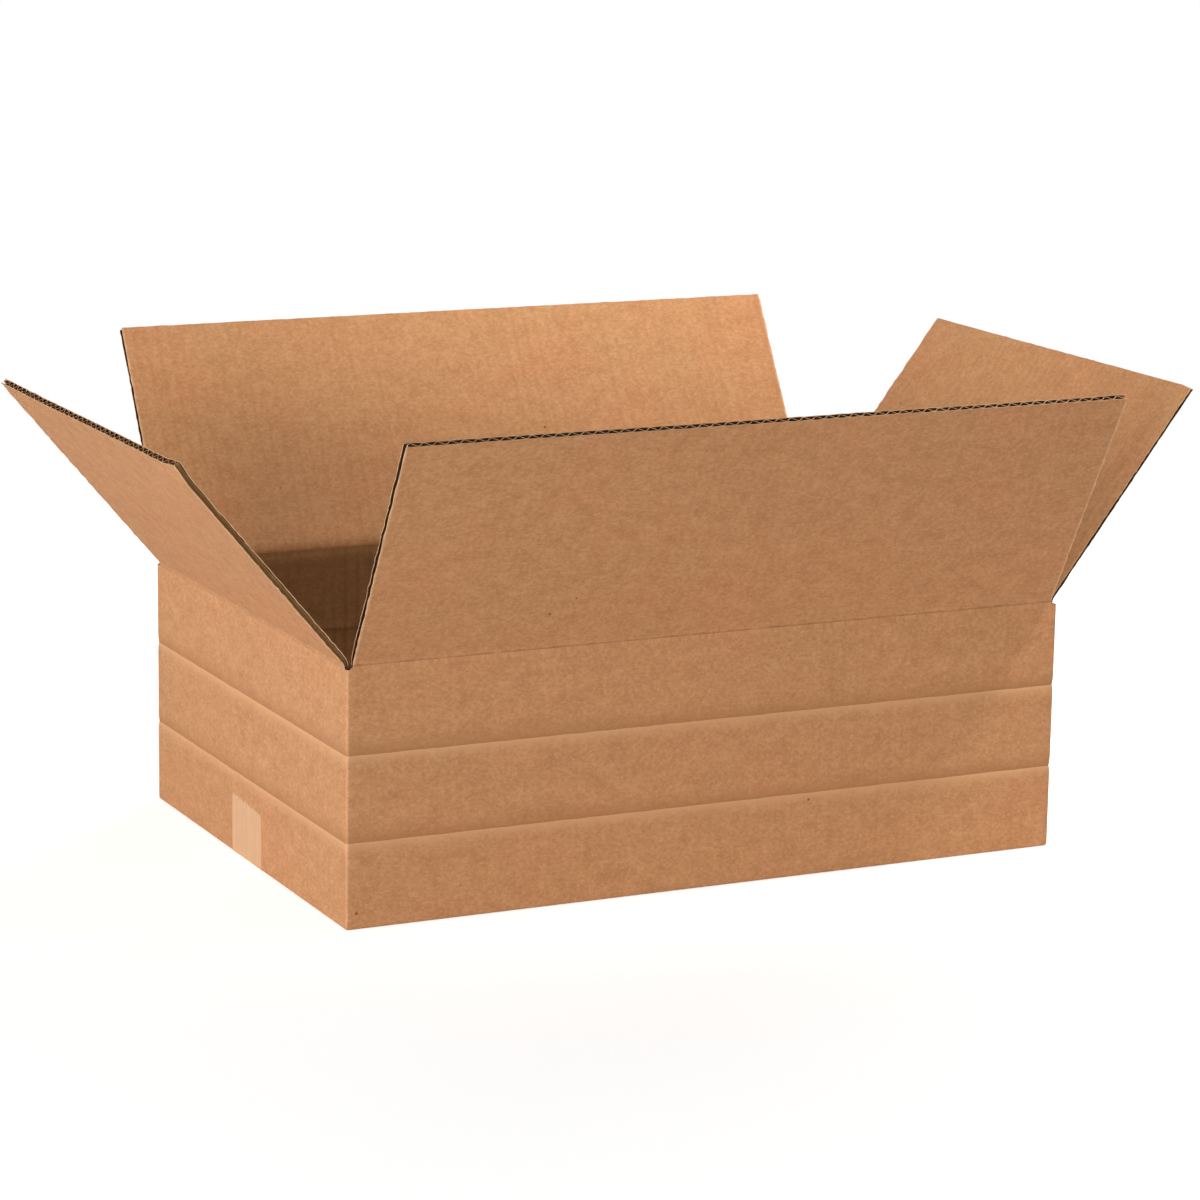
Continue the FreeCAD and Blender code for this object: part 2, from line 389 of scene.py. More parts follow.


# marks of folding and wear, as distances in metres and shares of a tone: painted shade and painted light
# beside the scores and creases, and a pale band beside the corners, partly wear and partly painted
# highlight
marks = {
    "scoreRise": 0.013,
    "scoreFall": 0.010,
    "scoreShade": 0.75,
    "scoreLight": 0.90,
    "creaseReach": 0.004,
    "creaseLine": 0.0014,
    "creaseLight": 0.3,
    "creaseShade": (0.6, 0.2),      # over the long walls and over the end walls
    "wearAndHighlightWidth": 0.0016,
    "wearAndHighlightShare": (0.25, 0.95),      # on the walls and on the flaps
    "wearAndHighlightTone": (238, 200, 162),
    "speckShade": 0.75,
    "speckTone": (96, 62, 38),
}


def pulpColour(tree, look, facts):
    dark, pale = tone(*facts["dark"]), tone(*facts["pale"])
    patches = spread(tree, look["Patches"], 0.44, 0.66)
    colour = mixTones(tree, patches, tone(*facts["base"]), tone(*facts["pink"]))
    layers = (("Clouds", 0.50, 0.75, 0.45, dark), ("Clouds", 0.48, 0.28, 0.30, pale),
              ("Fibres", 0.50, 0.72, 0.85, pale), ("Fibres", 0.49, 0.27, 0.85, dark))
    for layer, low, high, share, shade in layers:
        colour = mixTones(tree, spread(tree, look[layer], low, high, 0.0, share), colour, shade)
    return mixTones(tree, calculate(tree, "MULTIPLY", look["Hairs"], 0.4), colour, pale)


def drawScores(tree, place, colour, facts):
    # at each score, painted shade over the valley and painted light under it
    for level in facts["folds"]:
        fold = placeGroup(tree, "fold", place, {"Level": level, "Rise": marks["scoreRise"],
                                                "Fall": marks["scoreFall"]})
        shade = calculate(tree, "MULTIPLY", fold["Shade"], marks["scoreShade"])
        colour = mixTones(tree, shade, colour, tone(*facts["dark"]))
        light = calculate(tree, "MULTIPLY", fold["Light"], marks["scoreLight"])
        colour = mixTones(tree, light, colour, tone(*facts["pale"]))
    return colour


def drawCreases(tree, place, colour, facts):
    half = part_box("box_body")[1]
    panel = placeGroup(tree, "panel", place, {
        "Long Fold": creaseHeights["long"], "End Fold": creaseHeights["end"], "Long Half": half.x,
        "End Half": half.y, "Slot": board["slot"], "Wear And Highlight Width": marks["wearAndHighlightWidth"]})
    # a pale band beside the corners and the flaps' side edges: partly wear, partly painted highlight of the
    # rounded edge
    share = spread(tree, panel["On Flap"], 0.0, 1.0, *marks["wearAndHighlightShare"])
    wearAndHighlight = calculate(tree, "MULTIPLY", panel["Edge Wear And Highlight"], share)
    colour = mixTones(tree, wearAndHighlight, colour, tone(*marks["wearAndHighlightTone"]))
    # painted light under the crease, and a thin line of painted shade in it, stronger over the long walls
    fold = placeGroup(tree, "fold", place, {
        "Level": panel["Fold Level"], "Rise": marks["creaseReach"], "Fall": marks["creaseReach"],
        "Line Width": marks["creaseLine"]})
    light = calculate(tree, "MULTIPLY", fold["Light"], marks["creaseLight"])
    colour = mixTones(tree, light, colour, tone(*facts["pale"]))
    share = spread(tree, panel["End Panel"], 0.0, 1.0, *marks["creaseShade"])
    return mixTones(tree, calculate(tree, "MULTIPLY", fold["Line"], share), colour, tone(*facts["line"]))


def makePaper(name, facts):
    material = bpy.data.materials.new(name)
    material.use_nodes = True
    tree = material.node_tree
    shader = tree.nodes["Principled BSDF"]
    place = addNode(tree, "UVMap", uv_map="sheet").outputs[0]
    look = placeGroup(tree, "pulp", place, {"Seed": facts["seed"]})
    colour = pulpColour(tree, look, facts)
    height = look["Relief"]
    if facts["ribs"]:
        values = {"Pitch": board["flutePitch"], "Seed": facts["seed"] + 3}
        ribs = placeGroup(tree, "ribs", place, values)["Ribs"]
        # the ribs darken the tone along the flutes: partly streaks in the board, partly painted shade of
        # the shallow ribs
        shown = spread(tree, ribs, 0.0, 1.0, 0.0, facts["ribs"])
        colour = mixTones(tree, shown, colour, tone(*facts["dark"]))
        height = calculate(tree, "ADD", height, calculate(tree, "MULTIPLY", ribs, facts["ribs"]))
    colour = drawScores(tree, place, colour, facts)
    if facts["creases"]:
        colour = drawCreases(tree, place, colour, facts)
    specks = calculate(tree, "MULTIPLY", look["Specks"], marks["speckShade"])
    colour = mixTones(tree, specks, colour, tone(*marks["speckTone"]))
    tree.links.new(colour, shader.inputs["Base Color"])
    rough = spread(tree, look["Fibres"], 0.2, 0.8, facts["roughness"] - 0.08, facts["roughness"] + 0.08)
    tree.links.new(rough, shader.inputs["Roughness"])
    bump = addNode(tree, "Bump", {"Height": height, "Strength": 0.35, "Distance": 0.0004})
    tree.links.new(bump.outputs[0], shader.inputs["Normal"])
    shader.inputs["Specular IOR Level"].default_value = 0.25
    return material


paper = {name: makePaper(name, facts) for name, facts in papers.items()}
print("paper materials made")


# fluted board, standing upright with its outer face towards -Y and its foot on the X axis

def startRow(name, width, columns, rise):
    startPiece()
    bpy.ops.mesh.primitive_grid_add(x_subdivisions=columns, y_subdivisions=1, size=1,
                                    location=(0, 0, rise / 2), rotation=(math.pi / 2, 0, 0))
    piece = bpy.context.object
    piece.name = piece.data.name = name
    piece.scale = (width, rise, 1)
    settle(piece)
    return piece


def raiseRows(piece, levels):
    openPiece(piece)
    for low, high in zip(levels[1:], levels[2:]):
        pickPoints(piece, lambda spot: spot.z > low - tiny)
        bpy.ops.mesh.extrude_region_move(TRANSFORM_OT_translate={"value": (0, 0, high - low)})
    closePiece()


def roughenEdges(piece, top, side, seed):
    # cut edges are uneven, along the free edge and down both sides to just over the pressed foot
    foot = pressed[-1][0] + 0.0001
    openPiece(piece)
    pickPoints(piece, lambda spot: spot.z > top - tiny)
    bpy.ops.transform.vertex_random(offset=board["roughEdge"], seed=seed)
    pickPoints(piece, lambda spot: abs(spot.x) > side - tiny and foot < spot.z < top - 0.001)
    bpy.ops.transform.vertex_random(offset=board["roughSide"], seed=seed + 1)
    closePiece()


def makeLiner(name, width, levels, materials):
    liner = startRow(name, width, max(4, round(width / board["linerStep"])), levels[1])
    raiseRows(liner, levels)
    for material in materials:
        liner.data.materials.append(paper[material])
    return liner


def makeMedium(name, width, levels, cutEdge):
    step = board["flutePitch"] / board["fluteSteps"]
    columns = int((width - 2 * board["openFlute"]) / step)
    medium = startRow(name, columns * step, columns, levels[1])
    # the fluted sheet is painted in the fluted paper's painted shade
    for material in ("flutedPaperPaintedShade", cutEdge, "kraftInsidePaintedShade"):
        medium.data.materials.append(paper[material])
    sweep = (board["thickness"] - 2 * board["liner"] - board["medium"]) / 2
    end = columns * step / 2
    openPiece(medium)
    for phase in range(board["fluteSteps"]):
        turn = 2 * math.pi * phase / board["fluteSteps"]
        pickPoints(medium, lambda spot: round((spot.x + end) / step) % board["fluteSteps"] == phase)
        offset = board["thickness"] / 2 + sweep * math.sin(turn)
        bpy.ops.transform.translate(value=(0, offset, 0))
    # at one side the last flute is crushed into a wall across the board
    for column, sign in ((end - step, -1), (end, 1)):
        pickPoints(medium, lambda spot: near(spot.x, column))
        stretch((1, 0, 1), (0, board["thickness"] / 2 + sign * sweep, 0))
    closePiece()
    raiseRows(medium, levels)
    openPiece(medium)
    # the crushed end takes the inside paper darkened as painted shade
    pickFaces(medium, lambda spot, normal: spot.x > end - step)
    paintPicked(medium, 2)
    closePiece()
    finishWith(medium, "SOLIDIFY", thickness=board["medium"], offset=0, material_offset_rim=1)
    return medium


def makeBoard(name, width, levels, mapOffset, foldLevel, lining="kraftInside", cutEdge="kraftInside"):
    # the liners' faces towards the flutes take the fluted paper's painted shade
    outer = makeLiner(name, width, levels, ("kraftOutside", "flutedPaperPaintedShade", "paperEdge"))
    select(outer)
    bpy.ops.object.duplicate()
    inner = bpy.context.object
    inner.data.materials[0] = paper[lining]
    openPiece(inner)
    bpy.ops.mesh.select_all(action="SELECT")
    bpy.ops.transform.translate(value=(0, board["thickness"], 0))
    bpy.ops.mesh.flip_normals()
    closePiece()
    count = int((levels[-1] - board["tearFrom"] - board["tearTo"]) / board["tearStep"])
    tears = [board["tearFrom"] + board["tearStep"] * index for index in range(count)]
    for seed, liner in enumerate((outer, inner)):
        openPiece(liner)
        cutAcross(2, tears)
        closePiece()
        roughenEdges(liner, levels[-1], width / 2, 10 * mapOffset + 2 * seed)
        finishWith(liner, "SOLIDIFY", thickness=board["liner"], offset=-1, material_offset=1,
                   material_offset_rim=2)
    medium = makeMedium(name + "Medium", width, levels, cutEdge)
    select(outer)
    for sheet in (inner, medium):
        sheet.select_set(True)
    bpy.ops.object.join()
    layOnSheet(outer, lambda spot, normal: (spot.x + mapOffset, spot.z + foldLevel))
    return outer


def pressFoot(piece):
    openPiece(piece)
    for height, share in pressed[:-1]:
        pickPoints(piece, lambda spot: near(spot.z, height))
        stretch((1, share, 1), (0, board["pressPoint"], 0))
    closePiece()


def pinchSide(piece, half, pinch):
    # a side edge pressed thin by the slotting knife
    openPiece(piece)
    for inset in pinch["insets"]:
        pickPoints(piece, lambda spot: pinch["side"] * spot.x > half - inset)
        stretch((1, pinch["share"], 1), (0, board["pressPoint"], 0))
    closePiece()


def foldOut(piece, lean):
    # the upper rows are turned first, each about the outer face of the row below
    rows = [height for height, share in pressed if height < board["foldRun"] + tiny]
    openPiece(piece)
    for low, high in reversed(list(zip(rows, rows[1:]))):
        turn = lean * (easeAt(high / board["foldRun"]) - easeAt(low / board["foldRun"]))
        pickPoints(piece, lambda spot: spot.z > low + tiny)
        bpy.ops.transform.rotate(value=-turn, orient_axis="X", center_override=(0, 0, low))
    closePiece()


def warpBoard(piece, length, seed):
    # the free part of a flap is not quite flat
    group = piece.vertex_groups.new(name="free")
    for point in piece.data.vertices:
        part = (point.co.z - board["bowFrom"]) / (length - board["bowFrom"])
        group.add([point.index], easeAt(part), "REPLACE")
    swell = bpy.data.textures.new(piece.name + "Swell", "CLOUDS")
    swell.noise_scale = 0.19 + 0.03 * seed
    finishWith(piece, "DISPLACE", texture=swell, texture_coords="LOCAL", direction="Y",
               strength=board["bow"], mid_level=0.5, vertex_group="free")
    piece.vertex_groups.clear()


def curlCorner(piece, length, edge, curl):
    # a free corner knocked upright, most at its tip
    openPiece(piece)
    start = edge - curl["width"]
    for step in range(curl["steps"]):
        line = start + curl["width"] * step / curl["steps"]
        pickPoints(piece, lambda spot: spot.x > line and spot.z > length - curl["height"])
        bpy.ops.transform.rotate(value=curl["turn"] / curl["steps"], orient_axis="X",
                                 center_override=(0, 0, length - curl["height"]))
    closePiece()


# top flaps: the way each one leans out, in degrees from upright, and the height of its crease
flaps = {
    "frontFlap": {"node": "front_flap", "side": (0, -1), "lean": 29.0, "fold": creaseHeights["long"],
                  "cutEdge": "paperEdge"},
    "rightFlap": {"node": "right_flap", "side": (1, 0), "lean": 37.2, "fold": creaseHeights["end"],
                  "cutEdge": "kraftInside",
                  "pinch": {"side": -1, "share": 0.84, "insets": (0.0075, 0.0060, 0.0045, 0.0030, 0.0015)}},
    "backFlap": {"node": "back_flap", "side": (0, 1), "lean": 30.5, "fold": creaseHeights["long"],
                 "cutEdge": "paperEdge"},
    "leftFlap": {"node": "left_flap", "side": (-1, 0), "lean": 40.0, "fold": creaseHeights["end"],
                 "cutEdge": "kraftInside",
                 "curl": {"width": 0.012, "height": 0.012, "turn": math.radians(7), "steps": 3}},
}

# rows of faces over the pressed foot: heights over the crease, and distances from the free edge
flapRows = [0.022, 0.050, 0.080, 0.110]
flapEndRows = [0.024, 0.014, 0.009, 0.005, 0.0015, 0.0]


def makeFlap(name, facts, number):
    side = Vector((facts["side"][0], facts["side"][1], 0))
    joint = joints[facts["node"]]
    pivot = Vector(joint["pos_m"])
    low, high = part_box(facts["node"])
    along = 0 if facts["side"][0] == 0 else 1
    across = 1 - along
    width = high[along] - low[along]
    wallDistance = abs(pivot[across])
    reach = max(abs(low[across]), abs(high[across])) - wallDistance
    cadLength = reach / math.sin(math.radians(facts["lean"]))
    rise = pivot.z + cadLength * math.cos(math.radians(facts["lean"])) - facts["fold"]
    lean = math.atan2(reach, rise)
    length = math.hypot(reach, rise) - board["shortBy"]
    levels = [height for height, share in pressed] + flapRows + [length - row for row in flapEndRows]
    flap = makeBoard(name, width, levels, number, facts["fold"], cutEdge=facts["cutEdge"])
    warpBoard(flap, length, number)
    if "pinch" in facts:
        pinchSide(flap, width / 2, facts["pinch"])
    pressFoot(flap)
    if "curl" in facts:
        curlCorner(flap, length, width / 2, facts["curl"])
    foldOut(flap, lean)
    foot = side * wallDistance + Vector((0, 0, facts["fold"]))
    flap.rotation_euler = (0, 0, math.atan2(side.y, side.x) + math.pi / 2)
    flap.location = foot
    settle(flap)
    smooth(flap)
    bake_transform(flap)
    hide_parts(facts["node"])
    print(name, "made, width", round(width, 4), "length", round(length, 4))


for number, (name, facts) in enumerate(flaps.items()):
    makeFlap(name, facts, number)


# walls and folded bottom
walls = {
    "cornerRadius": 0.0017,
    "bottomRadius": 0.0016,
    # height from a score and depth of the valley there
    "valley": [(-0.0048, 0), (-0.0026, 0.00008), (-0.0012, 0.00022), (-0.0003, 0.0004), (0, 0.00046),
               (0.0005, 0.0004), (0.0018, 0.00024), (0.0038, 0.00009), (0.0065, 0)],
    "seam": 0.0030,
    "seamEnd": 0.0060,          # board left whole at each end of the seam
    "columnStep": 0.0190,
    "slotCut": 0.0001,          # between the pressed top of a long wall and the unpressed corner
    "slotDepth": 0.0020,        # how far down the board is open at a slot
}


def evenPlaces(reach):
    count = round(2 * reach / walls["columnStep"])
    return [reach * (2 * index / count - 1) for index in range(count + 1)]


def cutWalls(top, slotEnd, slotSide):
    rows = [score + height for score in scoreHeights for height, depth in walls["valley"]]
    rows += [top - height for height, share in pressed[1:]]
    cutAcross(2, rows)
    cutAcross(0, evenPlaces(slotEnd))
    cutAcross(0, [slotEnd + walls["slotCut"], -slotEnd - walls["slotCut"]])
    cutAcross(1, evenPlaces(slotSide))
    cutAcross(1, [walls["seam"] / 2, -walls["seam"] / 2])


def pressScores(piece, half):
    for score in scoreHeights:
        for height, depth in walls["valley"]:
            if depth:
                pickPoints(piece, lambda spot: near(spot.z, score + height))
                stretch((1 - depth / half.x, 1 - depth / half.y, 1), (0, 0, 0))


def pressRim(piece, half, top, rise, slotEnd, slotSide):
    # the board gets thinner towards the creases, and a long wall then rises to its higher crease
    deep = board["thickness"] + 0.001
    over = walls["slotCut"] / 2
    longPoint, endPoint = half.y - board["pressPoint"], half.x - board["pressPoint"]

    def onLong(spot, level, sign):
        return near(spot.z, level) and sign * spot.y > half.y - deep and abs(spot.x) < slotEnd + over

    def onEnd(spot, level, sign):
        return near(spot.z, level) and sign * spot.x > half.x - deep and abs(spot.y) < slotSide + over

    for height, share in pressed[:-1]:
        for sign in (-1, 1):
            pickPoints(piece, lambda spot: onLong(spot, top - height, sign))
            stretch((1, shareAt(height + rise), 1), (0, sign * longPoint, 0))
            pickPoints(piece, lambda spot: onEnd(spot, top - height, sign))
            stretch((share, 1, 1), (sign * endPoint, 0, 0))
    for sign in (-1, 1):
        pickPoints(piece, lambda spot: onLong(spot, top, sign))
        stretch((1, shareAt(0) / shareAt(rise), 1), (0, sign * longPoint, 0))
        bpy.ops.transform.translate(value=(0, 0, rise))


def sheetPlace(spot, normal, half):
    # flat place on the sheet: front 0, right 1, back 2 and left 3 metres along it
    if normal.z < -0.8:
        return (spot.x + (0 if spot.y < 0 else 2), abs(spot.y) - half.y)
    if abs(normal.y) > abs(normal.x):
        return (spot.x + (0 if normal.y < 0 else 2), spot.z)
    return (spot.y + (1 if normal.x > 0 else 3), spot.z)


def makeWalls():
    low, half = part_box("box_body")
    base, top = low.z, creaseHeights["end"]
    rise = creaseHeights["long"] - top
    slotEnd = half.x - board["slot"]
    slotSide = half.y - board["slot"] - board["endGap"]
    startPiece()
    bpy.ops.mesh.primitive_cube_add(size=1, location=(0, 0, (base + top) / 2))
    piece = bpy.context.object
    piece.name = piece.data.name = "boxWalls"
    piece.scale = (2 * half.x, 2 * half.y, top - base)
    settle(piece)
    openPiece(piece)
    pickFaces(piece, lambda spot, normal: normal.z > 0.9)
    bpy.ops.mesh.delete(type="FACE")
    pickEdges(piece, lambda a, b: not near(a.z, b.z))
    bpy.ops.mesh.bevel(offset=walls["cornerRadius"], segments=6, affect="EDGES")
    pickEdges(piece, lambda a, b: near(a.z, base) and near(b.z, base))
    bpy.ops.mesh.bevel(offset=walls["bottomRadius"], segments=3, affect="EDGES")
    cutWalls(top, slotEnd, slotSide)
    pressScores(piece, half)
    pickFaces(piece, lambda spot, normal: normal.z < -0.9 and abs(spot.y) < walls["seam"] / 2
              and abs(spot.x) < half.x - walls["seamEnd"])
    bpy.ops.mesh.delete(type="FACE")
    closePiece()
    layOnSheet(piece, lambda spot, normal: sheetPlace(spot, normal, half))
    # inside the box the walls take the inside paper darkened as painted shade, and their cut rims the
    # fluted paper's painted shade
    for name in ("kraftOutside", "kraftInsidePaintedShade", "flutedPaperPaintedShade"):
        piece.data.materials.append(paper[name])
    finishWith(piece, "SOLIDIFY", thickness=board["thickness"], offset=-1, use_even_offset=True,
               material_offset=1, material_offset_rim=2)
    openPiece(piece)
    pressRim(piece, half, top, rise, slotEnd, slotSide)
    # the slot bottoms sink and take the fluted paper's painted shade
    pickFaces(piece, lambda spot, normal: normal.z > 0.9 and near(spot.z, top) and abs(spot.x) > slotEnd)
    bpy.ops.mesh.inset(thickness=board["liner"])
    bpy.ops.transform.translate(value=(0, 0, -walls["slotDepth"]))
    paintPicked(piece, 2)
    closePiece()
    smooth(piece)
    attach(piece, "box")
    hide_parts("box_body")
    print("boxWalls made")


makeWalls()


# short bottom flaps, folded in from the end walls over the bottom
bottomFlap = {
    "length": 0.1550,
    "sideGap": 0.0003,
    "rows": [0.0, 0.002, 0.05, 0.10],
    "endRows": [0.006, 0.0015, 0.0],    # from the free edge
}


def makeBottomFlaps():
    low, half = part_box("box_body")
    levels = bottomFlap["rows"] + [bottomFlap["length"] - row for row in bottomFlap["endRows"]]
    width = 2 * (half.y - board["thickness"] - bottomFlap["sideGap"])
    for number, sign in enumerate((-1, 1)):
        name = ("leftBottomFlap", "rightBottomFlap")[number]
        # the flap's upper face, inside the box, takes the inside paper darkened as painted shade
        flap = makeBoard(name, width, levels, 4 + number, 0, "kraftInsidePaintedShade")
        flap.rotation_euler = (math.pi / 2, 0, 0)
        settle(flap)
        flap.rotation_euler = (0, 0, -sign * math.pi / 2)
        flap.location = (sign * (half.x - board["thickness"]), 0, low.z + board["thickness"])
        settle(flap)
        smooth(flap)
        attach(flap, "box")
    print("bottom flaps made")


makeBottomFlaps()


# glue tab inside the back right corner
glueTab = {
    "width": 0.035,
    "thickness": 0.0032,
    "low": 0.0202,
    "high": 0.1348,
    "taper": 0.010,
    "edgeRow": 0.002,
}


def makeGlueTab():
    low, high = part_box("box_body")
    face, side = high.x - board["thickness"], high.y - board["thickness"]
    rise = glueTab["high"] - glueTab["low"]
    levels = [0.0, glueTab["edgeRow"], rise / 2, rise - glueTab["edgeRow"], rise]
    # the tab takes the inside paper darkened as painted shade
    tab = makeBoard("glueTab", glueTab["width"], levels, 6, glueTab["low"], "kraftInsidePaintedShade")
    openPiece(tab)
    half = glueTab["width"] / 2
    for level, sign in ((0, -1), (rise, 1)):
        bpy.ops.mesh.select_all(action="SELECT")
        slant = Vector((-glueTab["taper"], 0, sign * glueTab["width"])).normalized()
        bpy.ops.mesh.bisect(plane_co=(half, 0, level), plane_no=slant, use_fill=True, clear_outer=True)
    bpy.ops.mesh.select_all(action="SELECT")
    stretch((1, glueTab["thickness"] / board["thickness"], 1), (0, 0, 0))
    closePiece()
    tab.rotation_euler = (0, 0, math.pi / 2)
    tab.location = (face - glueTab["thickness"], side - half, glueTab["low"])
    settle(tab)
    smooth(tab)
    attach(tab, "box")
    print("glueTab made")


makeGlueTab()


# tape along the bottom seam, turned up both end walls
tape = {
    "lap": 0.0350,
    "rows": [0.0325, 0.022, 0.012],     # heights of the rows of faces under the torn end
    "width": 0.048,
    "lift": 0.00004,            # between the tape and the board
    "thickness": 0.00014,
    "teeth": 15,
    "tearDepth": 0.0016,
    "tearRise": (0.0005, 0.0030),       # the torn edge runs up from one side to the other
    "tearShake": 0.0007,
    "bendSteps": 4,
    "streaks": (420, 9, 0),     # streaks in a metre, across the tape and along it
    "dark": (214, 168, 128),
    "pale": (230, 188, 150),
    "cloud": (206, 156, 114),
}


def makeTape():
    low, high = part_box("box_body")
    wall = high.x + tape["lift"]
    floor = low.z - tape["lift"]
    radius = walls["bottomRadius"] + tape["lift"]
    path = [(-wall, height) for height in [tape["lap"]] + tape["rows"]]
    for step in range(tape["bendSteps"] + 1):
        angle = math.pi / 2 * step / tape["bendSteps"]
        path.append((-wall + radius - radius * math.cos(angle), floor + radius - radius * math.sin(angle)))
    turned = list(path)
    path += [(wall * share, floor) for share in (-0.6, -0.2, 0.2, 0.6)]
    path += [(-x, z) for x, z in reversed(turned)]
    startPiece()
    bpy.ops.mesh.primitive_grid_add(x_subdivisions=2 * tape["teeth"], y_subdivisions=1, size=1)
    strip = bpy.context.object
    strip.name = strip.data.name = "bottomTape"
    first = path[0][1] - path[1][1]
    strip.scale = (tape["width"], first, 1)
    strip.rotation_euler = (math.pi / 2, 0, -math.pi / 2)
    strip.location = (-wall, 0, path[0][1] - first / 2)
    settle(strip)
    openPiece(strip)
    for (fromX, fromZ), (toX, toZ) in zip(path[1:], path[2:]):
        pickPoints(strip, lambda spot: near(spot.x, fromX) and near(spot.z, fromZ))
        bpy.ops.mesh.extrude_region_move(TRANSFORM_OT_translate={"value": (toX - fromX, 0, toZ - fromZ)})
    columns = 2 * tape["teeth"]
    lowRise, highRise = tape["tearRise"]
    for column in range(columns + 1):
        place = tape["width"] * (column / columns - 0.5)
        pickPoints(strip, lambda spot: near(spot.y, place) and near(spot.z, tape["lap"]))
        rise = lowRise + (highRise - lowRise) * column / columns
        bpy.ops.transform.translate(value=(0, 0, rise - column % 2 * tape["tearDepth"]))
    pickPoints(strip, lambda spot: spot.z > tape["lap"] - tape["tearDepth"] - 0.0001)
    bpy.ops.transform.vertex_random(offset=tape["tearShake"], seed=4)
    bpy.ops.mesh.select_all(action="SELECT")
    bpy.ops.mesh.normals_make_consistent(inside=False)
    closePiece()
    strip.data.materials.append(tapeFilm)
    layOnSheet(strip, lambda spot, normal: (spot.y, spot.z if abs(normal.x) > 0.7 else spot.x))
    finishWith(strip, "SOLIDIFY", thickness=tape["thickness"], offset=1)
    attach(strip, "box")
    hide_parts("bottom_tape")
    print("bottomTape made")


def makeTapeFilm():
    material = bpy.data.materials.new("packingTape")
    material.use_nodes = True
    tree = material.node_tree
    shader = tree.nodes["Principled BSDF"]
    place = addNode(tree, "UVMap", uv_map="sheet").outputs[0]
    streaks = noiseAt(tree, place, tape["streaks"], 4, 0.6)
    clouds = placeGroup(tree, "pulp", place, {})["Clouds"]
    colour = mixTones(tree, spread(tree, streaks, 0.3, 0.7), tone(*tape["dark"]), tone(*tape["pale"]))
    shown = spread(tree, clouds, 0.4, 0.75, 0.0, 0.25)
    colour = mixTones(tree, shown, colour, tone(*tape["cloud"]))
    tree.links.new(colour, shader.inputs["Base Color"])
    rough = spread(tree, streaks, 0.3, 0.7, 0.34, 0.5)
    tree.links.new(rough, shader.inputs["Roughness"])
    bump = addNode(tree, "Bump", {"Height": streaks, "Strength": 0.2, "Distance": 0.0002})
    tree.links.new(bump.outputs[0], shader.inputs["Normal"])
    return material


tapeFilm = makeTapeFilm()
makeTape()


# camera at the photograph's viewing angle
view = {
    "yaw": -25.922,
    "pitch": 12.299,
    "roll": 0.917,
    "lens": 122.823,
    "eye": (-1.0787, -2.2195, 0.6798),
}


def makeCamera():
    yaw, pitch, roll = (math.radians(view[name]) for name in ("yaw", "pitch", "roll"))
    back = Vector((math.sin(yaw) * math.cos(pitch), -math.cos(yaw) * math.cos(pitch), math.sin(pitch)))
    right = Vector((math.cos(yaw), math.sin(yaw), 0))
    up = back.cross(right)
    turnedRight = right * math.cos(roll) + up * math.sin(roll)
    turnedUp = up * math.cos(roll) - right * math.sin(roll)
    camera = bpy.data.objects.new("camera", bpy.data.cameras.new("camera"))
    scene.collection.objects.link(camera)
    camera.data.lens = view["lens"]
    camera.data.sensor_width = 36
    camera.data.clip_end = 60
    camera.matrix_world = Matrix((turnedRight, turnedUp, back)).transposed().to_4x4()
    camera.location = view["eye"]
    scene.camera = camera


makeCamera()


# floor, lamps and background
studio = {
    "floorSize": 14.0,
    "floorTone": (0.88, 0.88, 0.88, 1),
    "floorLift": 0.68,
    "liftTone": (0.965, 0.985, 1.0, 1),
    "whiteFrom": 0.55,          # the floor turns plain white between these distances from the box
    "whiteTo": 1.60,
    "sideLight": 0.52,
    "topLight": 0.06,
    "skyFrom": 0.08,            # the light of the sides turns to that of the top between these
    "skyTo": 0.61,
    "key": {"place": (-2.5, -0.8, 0.24), "aim": (0, 0, 0.14), "size": 1.4, "power": 69,
            "tint": (1.0, 0.99, 0.97)},
    "fill": {"place": (-0.4, -3.0, 0.28), "aim": (0, 0, 0.14), "size": 1.0, "power": 26,
             "tint": (1.0, 0.93, 0.78)},
    "glow": {"place": (0.78, -0.50, 1.70), "aim": (0.26, 0.23, 0.26), "size": 0.12, "power": 108,
             "tint": (1.0, 0.95, 0.88), "cone": math.radians(43)},
    "rear": {"place": (2.3, 1.9, 0.85), "aim": (0, 0, 0.14), "size": 1.6, "power": 42,
             "tint": (1.0, 0.98, 0.95)},
}


def aimLamp(name, facts):
    startPiece()
    bpy.ops.object.light_add(type="SPOT" if "cone" in facts else "AREA", location=facts["place"])
    lamp = bpy.context.object
    lamp.name = name
    lamp.data.energy = facts["power"]
    lamp.data.color = facts["tint"]
    if "cone" in facts:
        lamp.data.shadow_soft_size = facts["size"]
        lamp.data.spot_size = facts["cone"]
        lamp.data.spot_blend = 1.0
    else:
        lamp.data.size = facts["size"]
    towards = Vector(facts["aim"]) - Vector(facts["place"])
    lamp.rotation_euler = towards.to_track_quat("-Z", "Y").to_euler()


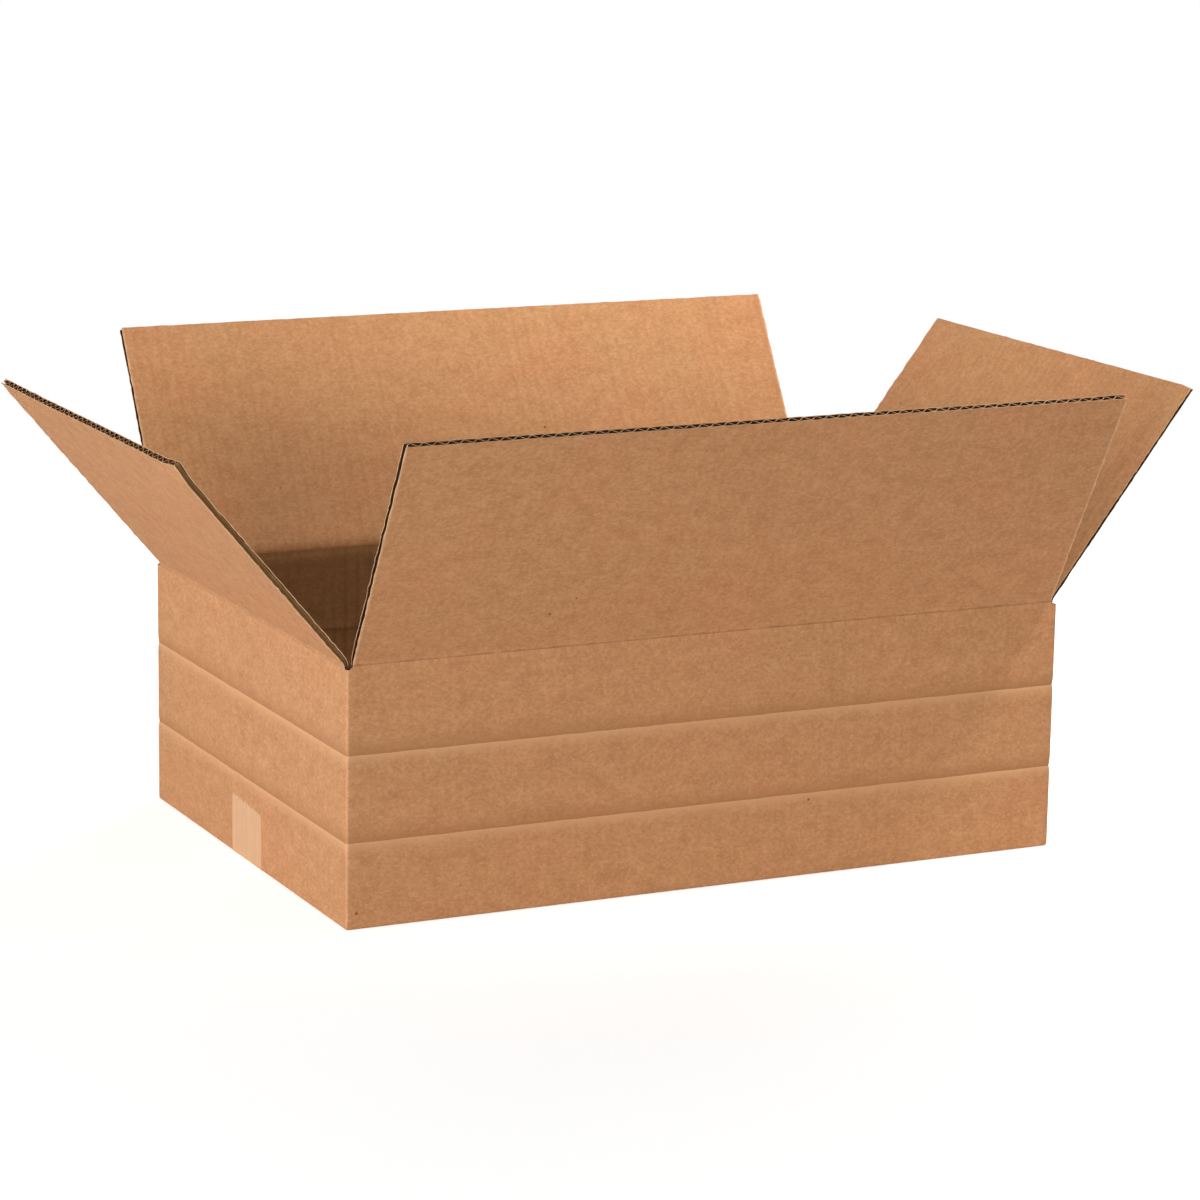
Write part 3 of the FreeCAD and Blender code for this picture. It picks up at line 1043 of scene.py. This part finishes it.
def makeStudio():
    startPiece()
    bpy.ops.mesh.primitive_plane_add(size=studio["floorSize"], location=(0, 0, 0))
    floor = bpy.context.object
    floor.name = "floor"
    material = bpy.data.materials.new("paleFloor")
    material.use_nodes = True
    tree = material.node_tree
    shader = tree.nodes["Principled BSDF"]
    shader.inputs["Base Color"].default_value = studio["floorTone"]
    shader.inputs["Roughness"].default_value = 0.9
    path = addNode(tree, "LightPath").outputs
    lift = calculate(tree, "MULTIPLY", path["Is Camera Ray"], studio["floorLift"])
    tree.links.new(lift, shader.inputs["Emission Strength"])
    shader.inputs["Emission Color"].default_value = studio["liftTone"]
    place = addNode(tree, "TexCoord").outputs["Object"]
    away = addNode(tree, "VectorMath", {0: place}, operation="LENGTH").outputs["Value"]
    far = spread(tree, away, studio["whiteFrom"], studio["whiteTo"])
    share = calculate(tree, "MULTIPLY", path["Is Camera Ray"], far)
    plain = addNode(tree, "Emission", {"Color": (1, 1, 1, 1), "Strength": 1.0})
    both = addNode(tree, "MixShader", {0: share, 1: shader.outputs[0], 2: plain.outputs[0]})
    tree.links.new(both.outputs[0], tree.nodes["Material Output"].inputs[0])
    floor.data.materials.append(material)
    world = bpy.data.worlds.new("studio")
    scene.world = world
    world.use_nodes = True
    tree = world.node_tree
    tree.nodes.clear()
    heading = addNode(tree, "TexCoord").outputs["Generated"]
    height = addNode(tree, "SeparateXYZ", {0: heading}).outputs[2]
    level = spread(tree, height, studio["skyFrom"], studio["skyTo"], studio["sideLight"],
                   studio["topLight"])
    soft = addNode(tree, "Background", {"Color": (1, 1, 1, 1), "Strength": level})
    white = addNode(tree, "Background", {"Color": (1, 1, 1, 1), "Strength": 1.0})
    path = addNode(tree, "LightPath").outputs
    seen = calculate(tree, "MAXIMUM", path["Is Camera Ray"], path["Is Glossy Ray"])
    seen = calculate(tree, "MAXIMUM", seen, path["Is Transmission Ray"])
    both = addNode(tree, "MixShader", {0: seen, 1: soft.outputs[0], 2: white.outputs[0]})
    tree.links.new(both.outputs[0], addNode(tree, "OutputWorld").inputs[0])
    for name in ("key", "fill", "glow", "rear"):
        aimLamp(name + "Lamp", studio[name])


makeStudio()
scene.view_settings.view_transform = "Standard"
print("studio made")
